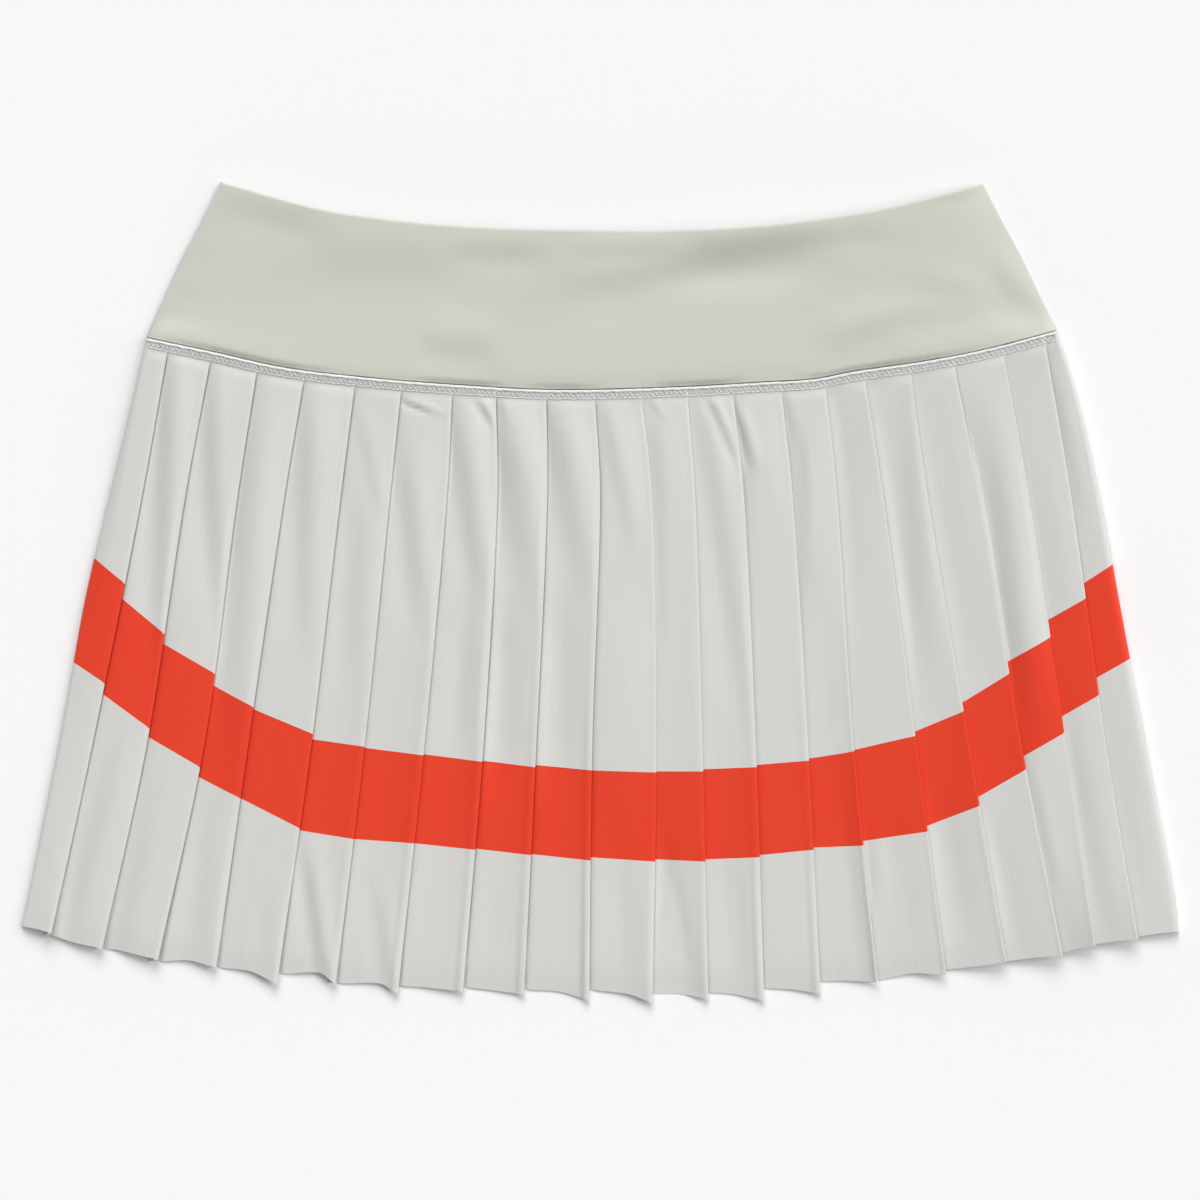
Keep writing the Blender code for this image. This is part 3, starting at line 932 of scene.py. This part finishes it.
def band_side(side, v):
    """The place on one of the waistband's side edges, v from the seam up."""
    steps = [index / (len(BAND_SIDES) - 1) for index in range(len(BAND_SIDES))]
    across = [getattr(row, side) for row in BAND_SIDES]
    level = [getattr(row, side + "_level") for row in BAND_SIDES]
    return Vector((smooth_value(steps, across, v), smooth_value(steps, level, v)))


def band_place(u, v):
    """The place on the waistband, u from left to right and v from the seam up."""
    low = band_side("left", 0).lerp(band_side("right", 0), u)
    high = band_side("left", 1).lerp(band_side("right", 1), u)
    seam_bend = seam_level(low.x) - low.y
    top_bend = smooth(BAND_TOP, "across", "level", high.x) - high.y
    bend = seam_bend + (top_bend - seam_bend) * v
    return band_side("left", v).lerp(band_side("right", v), u) + Vector((0, bend + SEAM_GAP))


def band_creases(place):
    """The height that the waistband's soft waves add at a place."""
    height = 0.0
    for crease in BAND_CREASES:
        start = Vector((crease.across, crease.level))
        run = Vector((crease.end_across, crease.end_level)) - start
        along = (place - start).dot(run) / run.length_squared
        over = run.cross(place - start) / run.length
        height += crease.depth * crease_fade(along) * wave(over / (crease.width * SLOPE_SHARE))
    return height


def waistband(name, facing, sizes, material):
    """A knit waistband wall, rounded along its top edge and its sides."""
    shares = shares_down(BAND_ROW_BANDS)
    across_shares = shares_down(BAND_COLUMN_BANDS)
    half = sizes.band_thickness / MM / 2
    places = {}

    def middle(place, u, v):
        """The height of the middle of the wall."""
        if facing == -1:
            return half
        from_seam = place.y - seam_level(place.x) - SEAM_GAP
        near = exp(-((from_seam / SEAM_REACH) ** 2))
        spread = 1 - abs(2 * u - 1) ** mix(BAND_EDGE_POWER, SEAM_EDGE_POWER, near)
        edge = mix(BAND_SIDE_MEETING + half, BAND_FRONT_LOWEST - SEAM_GAP, v)
        keep = smooth(BAND_KEEPS, "across", "share", place.x)
        height = BAND_FRONT_LOWEST + smooth(BAND_HEIGHTS, "share", "height", v) * keep
        height = mix(height, FRONT_BASE + strip_heights(place.x)[0] + SEAM_STEP, near)
        height += band_creases(place) * sizes.crease_scale
        swell = smooth(SWELLS, "across", "share", place.x)
        height -= SWELL_DROP * swell**2 * exp(-((from_seam / SWELL_REACH) ** 2))
        return mix(edge, height, spread)

    bm = bmesh.new()
    columns = len(across_shares) - 1
    bmesh.ops.create_grid(bm, x_segments=columns, y_segments=len(shares) - 1, size=1.0)
    outer = list(bm.verts)
    made = bmesh.ops.extrude_face_region(bm, geom=list(bm.faces), use_keep_orig=True)
    inner = [item for item in made["geom"] if isinstance(item, bmesh.types.BMVert)]
    for side, verts in ((1, outer), (-1, inner)):
        for vert in verts:
            u = across_shares[round((vert.co.x + 1) / 2 * columns)]
            v = shares[round((vert.co.y + 1) / 2 * (len(shares) - 1))]
            place = band_place(u, v)
            from_top = band_place(u, 1).y - place.y
            from_side = min(place.x - band_side("left", v).x, band_side("right", v).x - place.x)
            near = min(from_top, from_side) / (half * BAND_ROUNDING * 2)
            round_half = half * (1 - (1 - min(near, 1.0)) ** 2) ** 0.5
            height = middle(place, u, v) + side * facing * round_half
            vert.co = to_world(place.x, place.y, height)
            places[vert] = (place.x * MM, place.y * MM)
    bmesh.ops.remove_doubles(bm, verts=list(bm.verts), dist=sizes.band_thickness * MERGE_SHARE)
    bmesh.ops.recalc_face_normals(bm, faces=list(bm.faces))
    layer = bm.loops.layers.uv.new("cloth")
    for face in bm.faces:
        for loop in face.loops:
            loop[layer].uv = places[loop.vert]
    # The extrusion's side walls come in no fixed order, so the faces are put in one.
    ordered = sorted(bm.faces, key=lambda face: face.calc_center_median()[:])
    for index, face in enumerate(ordered):
        face.index = index
    bm.faces.sort()
    return mesh_object(name, bm, material)


def thread_curve(name, runs, radius, material):
    """Threads as one curve object, each run a list of places and the thread's width, 1 as given."""
    curve = bpy.data.curves.new(name, "CURVE")
    curve.dimensions = "3D"
    curve.bevel_depth = radius
    curve.bevel_resolution = 1
    curve.resolution_u = 1
    curve.use_fill_caps = True
    curve.materials.append(material)
    for run, width in runs:
        spline = curve.splines.new("POLY")
        spline.points.add(len(run) - 1)
        for point, place in zip(spline.points, run):
            point.co = (*place, 1.0)
            point.radius = width
    obj = bpy.data.objects.new(name, curve)
    bpy.context.scene.collection.objects.link(obj)
    return obj


def seam_stitches(name, facing, cloth, sizes, material):
    """The coverstitch on one side of the waist: two needle rows and the looper between them."""
    graph = bpy.context.evaluated_depsgraph_get()
    tree = BVHTree.FromObject(cloth, graph)
    start = side_edge("left", 0)[0] + STITCH_MARGIN
    end = side_edge("right", 0)[0] - STITCH_MARGIN
    radius = sizes.thread_width / 2
    pitch = sizes.stitch_pitch / MM

    def rest(across, below, over):
        """A place on the cloth, so far below the seam and with the thread's middle over it."""
        flat = to_world(across, seam_level(across) - below, 0.0)
        origin = Vector((flat.x, flat.y, RAY_START * facing))
        hit = tree.ray_cast(origin, Vector((0, 0, -facing)))[0]
        surface = hit.z if hit else flat.z
        return Vector((flat.x, flat.y, surface + over * facing))

    steps = round((end - start) / THREAD_STEP)
    needle_rows = []
    for needle in NEEDLE_ROWS:
        row = []
        for i in range(steps + 1):
            across = mix(start, end, i / steps)
            sink = STITCH_SINK * (1 - abs(sin(pi * across / (pitch * 2))))
            below = needle.below + ROW_WOBBLE * sin(across * WOBBLE_TURN)
            row.append(rest(across, below, radius * needle.width * (needle.over - sink)))
        needle_rows.append((row, needle.width))
    looper = []
    count = round((end - start) / pitch)
    for i in range(count * 4 + 1):
        across = mix(start, end, i / (count * 4))
        swing = mix(*LOOPER_ENDS, LOOPER_SWING[i % 4])
        below = mix(NEEDLE_ROWS[0].below, NEEDLE_ROWS[1].below, swing)
        looper.append(rest(across, below, radius * LOOPER_OVERS[i % 2]))
    return thread_curve(name, [*needle_rows, (looper, LOOPER_WIDTH)], radius, material)


def fill(tree, socket, value):
    """Links another node's output to an input, or sets a plain value in it."""
    if isinstance(value, bpy.types.NodeSocket):
        tree.links.new(value, socket)
    else:
        socket.default_value = value


def add_node(tree, kind, **inputs):
    """A shader node with some of its inputs filled, each given by name."""
    node = tree.nodes.new(kind)
    for key, value in inputs.items():
        fill(tree, node.inputs[key], value)
    return node


def math_node(tree, operation, *values):
    """A Math node on numbers or other nodes' outputs, and its own output."""
    node = tree.nodes.new("ShaderNodeMath")
    node.operation = operation
    for socket, value in zip(node.inputs, values):
        fill(tree, socket, value)
    return node.outputs[0]


def new_group(name, inputs, outputs):
    """An empty shader node group: (tree, its inputs, its outputs)."""
    tree = bpy.data.node_groups.new(name, "ShaderNodeTree")
    for label, kind, value in inputs:
        socket = tree.interface.new_socket(label, in_out="INPUT", socket_type="NodeSocket" + kind)
        if value is not None:
            socket.default_value = value
    for label, kind in outputs:
        tree.interface.new_socket(label, in_out="OUTPUT", socket_type="NodeSocket" + kind)
    start = tree.nodes.new("NodeGroupInput").outputs
    end = tree.nodes.new("NodeGroupOutput").inputs
    return tree, start, end


def woven_group():
    """Plain weave: yarns over and under each other, and faint streaks along the warp."""
    inputs = [("Place", "Vector", None), ("Yarns", "Float", 1000.0)]
    tree, start, end = new_group("woven_yarns", inputs, [("Height", "Float"), ("Streaks", "Float")])
    parts = add_node(tree, "ShaderNodeSeparateXYZ", Vector=start["Place"])
    waves = []
    for axis in range(2):
        turns = math_node(tree, "MULTIPLY", parts.outputs[axis], start["Yarns"])
        waves.append(math_node(tree, "COSINE", math_node(tree, "MULTIPLY", turns, pi)))
    fill(tree, end["Height"], math_node(tree, "MULTIPLY", *waves))
    stretch = add_node(tree, "ShaderNodeMapping", Vector=start["Place"], Scale=(700.0, 9.0, 1.0))
    streaks = add_node(tree, "ShaderNodeTexNoise", Scale=1.0, Detail=3.0, Roughness=0.6)
    fill(tree, streaks.inputs["Vector"], stretch.outputs[0])
    fill(tree, end["Streaks"], streaks.outputs["Fac"])
    return tree


def knit_group():
    """Jersey knit: columns of small V shapes."""
    inputs = [("Place", "Vector", None), ("Wales", "Float", 2500.0), ("Courses", "Float", 3000.0)]
    tree, start, end = new_group("knit_loops", inputs, [("Height", "Float")])
    parts = add_node(tree, "ShaderNodeSeparateXYZ", Vector=start["Place"])
    wale = math_node(tree, "FRACT", math_node(tree, "MULTIPLY", parts.outputs[0], start["Wales"]))
    side = math_node(tree, "ABSOLUTE", math_node(tree, "SUBTRACT", wale, 0.5))
    course = math_node(tree, "MULTIPLY", parts.outputs[1], start["Courses"])
    slant = math_node(tree, "ADD", course, side)
    loop = math_node(tree, "SINE", math_node(tree, "MULTIPLY", slant, 2 * pi))
    crown = math_node(tree, "SUBTRACT", 1.0, math_node(tree, "MULTIPLY", side, 2.0))
    fill(tree, end["Height"], math_node(tree, "MULTIPLY_ADD", loop, KNIT_LOOP, crown))
    return tree


def mottle_group():
    """Soft uneven tone in a dyed colour."""
    inputs = [
        ("Colour", "Color", (0.8, 0.8, 0.8, 1.0)),
        ("Place", "Vector", None),
        ("Patches", "Float", 20.0),
        ("Amount", "Float", 0.05),
    ]
    tree, start, end = new_group("dye_mottle", inputs, [("Colour", "Color")])
    noise = add_node(tree, "ShaderNodeTexNoise", Detail=4.0, Roughness=0.55)
    fill(tree, noise.inputs["Vector"], start["Place"])
    fill(tree, noise.inputs["Scale"], start["Patches"])
    centred = math_node(tree, "SUBTRACT", noise.outputs["Fac"], 0.5)
    value = math_node(tree, "MULTIPLY_ADD", centred, start["Amount"], 1.0)
    shade = add_node(tree, "ShaderNodeHueSaturation", Color=start["Colour"], Value=value)
    fill(tree, end["Colour"], shade.outputs[0])
    return tree


def place_group(tree, name, make, **inputs):
    """A shared group in a material, with some of its inputs filled. Its first use makes it."""
    node = tree.nodes.new("ShaderNodeGroup")
    node.node_tree = bpy.data.node_groups.get(name) or make()
    for key, value in inputs.items():
        fill(tree, node.inputs[key], value)
    return node


def on_cloth(tree):
    """Places on the flat cloth, from the piece's own map."""
    node = tree.nodes.new("ShaderNodeUVMap")
    node.uv_map = "cloth"
    return node.outputs[0]


def on_piece(tree):
    """Places on the piece as it lies."""
    return tree.nodes.new("ShaderNodeTexCoord").outputs["Object"]


def dyed(tree, colour, patches, amount):
    """The uneven tone of a dye on a plain colour, or on the colours that another node puts out."""
    values = {"Colour": colour, "Place": on_piece(tree), "Patches": patches, "Amount": amount}
    return place_group(tree, "dye_mottle", mottle_group, **values).outputs[0]


def new_material(name, roughness, sheen):
    """A material with its shader's plain values set: (material, node tree, shader)."""
    material = bpy.data.materials.new(name)
    material.use_nodes = True
    tree = material.node_tree
    shader = tree.nodes["Principled BSDF"]
    shader.inputs["Roughness"].default_value = roughness
    shader.inputs["Sheen Weight"].default_value = sheen
    shader.inputs["Sheen Roughness"].default_value = 0.5
    shader.inputs["Specular IOR Level"].default_value = 0.2
    return material, tree, shader


def finish_shader(tree, shader, colour, relief=None, depth=0.0):
    """Gives the shader its colour, and its relief from a pattern and how deep that is in metres."""
    fill(tree, shader.inputs["Base Color"], colour)
    if relief:
        bump = add_node(tree, "ShaderNodeBump", Strength=1.0, Distance=depth, Height=relief)
        fill(tree, shader.inputs["Normal"], bump.outputs[0])


def cloth_material(sizes, colours):
    """Woven cloth with the stripe dyed into it."""
    material, tree, shader = new_material("skirt_cloth", 0.75, 0.15)
    yarns = 1 / sizes.yarn_pitch
    weave = place_group(tree, "woven_yarns", woven_group, Place=on_cloth(tree), Yarns=yarns)
    stripe = add_node(tree, "ShaderNodeAttribute")
    stripe.attribute_name = "stripe"
    above = math_node(tree, "GREATER_THAN", stripe.outputs["Fac"], 0.0)
    below = math_node(tree, "LESS_THAN", stripe.outputs["Fac"], 1.0)
    dye = add_node(tree, "ShaderNodeMix")
    dye.data_type = "RGBA"
    fill(tree, dye.inputs["A"], (*colours.cloth, 1.0))
    fill(tree, dye.inputs["B"], (*colours.stripe, 1.0))
    fill(tree, dye.inputs["Factor"], math_node(tree, "MULTIPLY", above, below))
    colour = dyed(tree, dye.outputs["Result"], patches=14.0, amount=0.06)
    faint = 1 - STREAK_AMOUNT / 2
    streaks = math_node(tree, "MULTIPLY_ADD", weave.outputs["Streaks"], STREAK_AMOUNT, faint)
    shade = add_node(tree, "ShaderNodeHueSaturation", Color=colour, Value=streaks)
    depth = sizes.yarn_pitch * YARN_RELIEF
    finish_shader(tree, shader, shade.outputs[0], weave.outputs["Height"], depth)
    return material


def knit_material(sizes, colours):
    """Smooth jersey knit in plain sage."""
    material, tree, shader = new_material("waistband_knit", 0.85, 0.25)
    wales = 1 / sizes.wale_pitch
    values = {"Place": on_cloth(tree), "Wales": wales, "Courses": COURSES_PER_WALE * wales}
    knit = place_group(tree, "knit_loops", knit_group, **values)
    colour = dyed(tree, (*colours.waistband, 1.0), patches=9.0, amount=0.05)
    finish_shader(tree, shader, colour, knit.outputs["Height"], sizes.wale_pitch * KNIT_RELIEF)
    return material


def thread_material(sizes, colours):
    """Spun thread, a little uneven in tone."""
    material, tree, shader = new_material("seam_thread", 0.6, 0.3)
    twist = add_node(tree, "ShaderNodeTexWave", Scale=1 / sizes.thread_width, Distortion=1.0)
    twist.bands_direction = "DIAGONAL"
    fill(tree, twist.inputs["Vector"], on_piece(tree))
    colour = dyed(tree, (*colours.thread, 1.0), patches=900.0, amount=0.25)
    finish_shader(tree, shader, colour, twist.outputs["Fac"], sizes.thread_width * TWIST_RELIEF)
    return material


def floor_material(colours):
    """Matt pale studio floor."""
    material, tree, shader = new_material("studio_floor", 0.95, 0.0)
    finish_shader(tree, shader, dyed(tree, (*colours.floor, 1.0), patches=3.0, amount=0.004))
    return material


def cut_sizes(facing, sizes):
    """(width, length, area) in metres of the flat cloth that a pleated panel is cut from."""
    hidden = 2 * sum(fold.depth for fold in FOLDS)
    rows = []
    for share in shares_down(ROW_BANDS):
        edges = [face_edges(face, share, facing) for face in range(len(FOLDS) + 1)]
        wide = sum(right[0] - left[0] for left, right in edges) + hidden
        rows.append((wide, sum(right[1] for left, right in edges) / len(edges)))
    area = sum((a[0] + b[0]) / 2 * (a[1] - b[1]) for a, b in zip(rows, rows[1:]))
    length = max(seam_level(fold.seam * facing) - fold.tip for fold in FOLDS)
    return rows[-1][0] * MM, length * MM, area * MM * MM


def length(name, description, default):
    return FloatProperty(
        name=name, description=description, default=default, unit="LENGTH", precision=5
    )


def factor(name, description):
    return FloatProperty(name=name, description=description, default=1.0, subtype="FACTOR")


def colour(name, description, default):
    return FloatVectorProperty(
        name=name, description=description, default=default, subtype="COLOR", min=0.0, max=1.0
    )


class SkirtSizes(bpy.types.PropertyGroup):
    """The sizes of the skirt's cloth and thread."""

    cloth_thickness: length("Cloth thickness", "Thickness of the pleated woven cloth", 0.00025)
    band_thickness: length("Waistband thickness", "Thickness of the doubled knit waistband", 0.0008)
    pleat_cut: length("Pleat cut", "Width of flat cloth that each pleat takes up", 0.033)
    hem_lift: factor("Hem lift", "How far the fold tips stand off the floor, 1 as made")
    crease_scale: factor("Crease depth", "Depth of the soft creases, 1 as made")
    yarn_pitch: length("Yarn pitch", "Distance from one yarn to the next in the woven cloth", 0.0003)
    wale_pitch: length("Wale pitch", "Distance from one column of knit loops to the next", 0.0004)
    thread_width: length("Thread width", "Diameter of the seam's thread", 0.0005)
    stitch_pitch: length("Stitch pitch", "Distance from one looper swing to the next", 0.0023)


class SkirtColours(bpy.types.PropertyGroup):
    """The colours of the skirt and its stage."""

    cloth: colour("Cloth", "Pleated cloth", (0.603, 0.598, 0.573))
    stripe: colour("Stripe", "Stripe round the skirt", (0.72, 0.045, 0.016))
    waistband: colour("Waistband", "Knit waistband", (0.56, 0.56, 0.50))
    thread: colour("Thread", "Thread of the waist seam", (0.80, 0.80, 0.785))
    floor: colour("Floor", "Floor under the skirt", (0.85, 0.85, 0.85))


class SKIRT_OT_pleated_cloth(bpy.types.Operator):
    """Fold the front and the back of the pleated skirt"""

    bl_idname = "skirt.pleated_cloth"
    bl_label = "Pleated cloth"

    def execute(self, context):
        sizes, colours = context.scene.skirt_sizes, context.scene.skirt_colours
        material = cloth_material(sizes, colours)
        for name, facing, under in (("front", 1, "skirt_back_cloth"), ("back", -1, None)):
            obj = pleated_cloth(f"skirt_{name}_cloth", facing, sizes, material)
            finished(obj, "skirt_cloth", f"skirt_{name}")
            width, length, area = cut_sizes(facing, sizes)
        return {"FINISHED"}


class SKIRT_OT_waistband(bpy.types.Operator):
    """Make the front and the back of the knit waistband"""

    bl_idname = "skirt.waistband"
    bl_label = "Waistband"

    def execute(self, context):
        sizes, colours = context.scene.skirt_sizes, context.scene.skirt_colours
        material = knit_material(sizes, colours)
        for name, facing in (("front", 1), ("back", -1)):
            obj = waistband(f"waistband_{name}_knit", facing, sizes, material)
            finished(obj, "waistband_knit", f"waistband_{name}")
        return {"FINISHED"}


class SKIRT_OT_seam_stitches(bpy.types.Operator):
    """Sew the coverstitch round the waist"""

    bl_idname = "skirt.seam_stitches"
    bl_label = "Seam stitches"

    def execute(self, context):
        sizes, colours = context.scene.skirt_sizes, context.scene.skirt_colours
        material = thread_material(sizes, colours)
        for name, facing in (("front", 1), ("back", -1)):
            cloth = bpy.data.objects.get(f"skirt_{name}_cloth")
            if cloth is None:
                raise RuntimeError("The pleated cloth comes before the stitches that lie on it")
            obj = seam_stitches(f"seam_stitches_{name}", facing, cloth, sizes, material)
            finished(obj, "seam_thread")
        return {"FINISHED"}


class SKIRT_OT_stage(bpy.types.Operator):
    """Set the floor, the studio light and the camera"""

    bl_idname = "skirt.stage"
    bl_label = "Stage"

    def execute(self, context):
        scene = context.scene
        scene.view_settings.view_transform = "Standard"
        bm = bmesh.new()
        bmesh.ops.create_grid(bm, x_segments=8, y_segments=8, size=FLOOR_SIZE / 2 * MM)
        floor = mesh_object("studio_floor", bm, floor_material(scene.skirt_colours))

        world = bpy.data.worlds.new("studio")
        world.use_nodes = True
        tree = world.node_tree
        background = tree.nodes["Background"]
        fill(tree, background.inputs["Color"], (1.0, 1.0, 1.0, 1.0))
        sky = add_node(tree, "ShaderNodeTexCoord").outputs["Generated"]
        height = add_node(tree, "ShaderNodeSeparateXYZ", Vector=sky).outputs["Z"]
        fade = add_node(tree, "ShaderNodeMapRange", Value=height)
        fade.interpolation_type = "SMOOTHSTEP"
        values = (*HORIZON_FADE, WORLD_POWER + HORIZON_POWER, WORLD_POWER)
        for key, value in zip(("From Min", "From Max", "To Min", "To Max"), values):
            fill(tree, fade.inputs[key], value)
        fill(tree, background.inputs["Strength"], fade.outputs["Result"])
        scene.world = world

        for name, power, spread, towards in SOFTBOXES:
            light = bpy.data.lights.new(name, "SUN")
            light.energy = power
            light.angle = radians(spread)
            softbox = bpy.data.objects.new(name, light)
            softbox.rotation_euler = Vector(towards).to_track_quat("Z", "Y").to_euler()
            scene.collection.objects.link(softbox)

        lens = bpy.data.cameras.new("camera")
        lens.sensor_width = SENSOR_WIDTH
        lens.lens = SENSOR_WIDTH * CAMERA_DISTANCE / VIEW_WIDTH
        lens.clip_end = 100.0
        camera = bpy.data.objects.new("camera", lens)
        camera.location = to_world(0.0, VIEW_MIDDLE_LEVEL, CAMERA_DISTANCE)
        scene.collection.objects.link(camera)
        scene.camera = camera
        return {"FINISHED"}


class SKIRT_PT_sidebar(bpy.types.Panel):
    """The skirt's sizes, colours and pieces"""

    bl_label = "Tennis Skirt"
    bl_idname = "SKIRT_PT_sidebar"
    bl_space_type = "VIEW_3D"
    bl_region_type = "UI"
    bl_category = "Skirt"

    def draw(self, context):
        layout = self.layout
        for group in (context.scene.skirt_sizes, context.scene.skirt_colours):
            box = layout.box()
            for name in group.__annotations__:
                box.prop(group, name)
        for operator in OPERATORS:
            layout.operator(operator.bl_idname)


OPERATORS = (
    SKIRT_OT_pleated_cloth,
    SKIRT_OT_waistband,
    SKIRT_OT_seam_stitches,
    SKIRT_OT_stage,
)
CLASSES = (SkirtSizes, SkirtColours, *OPERATORS, SKIRT_PT_sidebar)


def register():
    for cls in CLASSES:
        bpy.utils.register_class(cls)
    bpy.types.Scene.skirt_sizes = PointerProperty(type=SkirtSizes)
    bpy.types.Scene.skirt_colours = PointerProperty(type=SkirtColours)


def unregister():
    del bpy.types.Scene.skirt_colours
    del bpy.types.Scene.skirt_sizes
    for cls in reversed(CLASSES):
        bpy.utils.unregister_class(cls)


def clear_startup_scene():
    """Removes whatever the scene held before, apart from the frame."""
    kept = {*frame["nodes"].values(), *frame["bodies"].values()}
    for obj in list(bpy.data.objects):
        if obj not in kept:
            bpy.data.objects.remove(obj)


def main():
    clear_startup_scene()
    register()
    bpy.ops.skirt.pleated_cloth()
    bpy.ops.skirt.waistband()
    bpy.ops.skirt.seam_stitches()
    bpy.ops.skirt.stage()


if __name__ == "__main__":
    main()
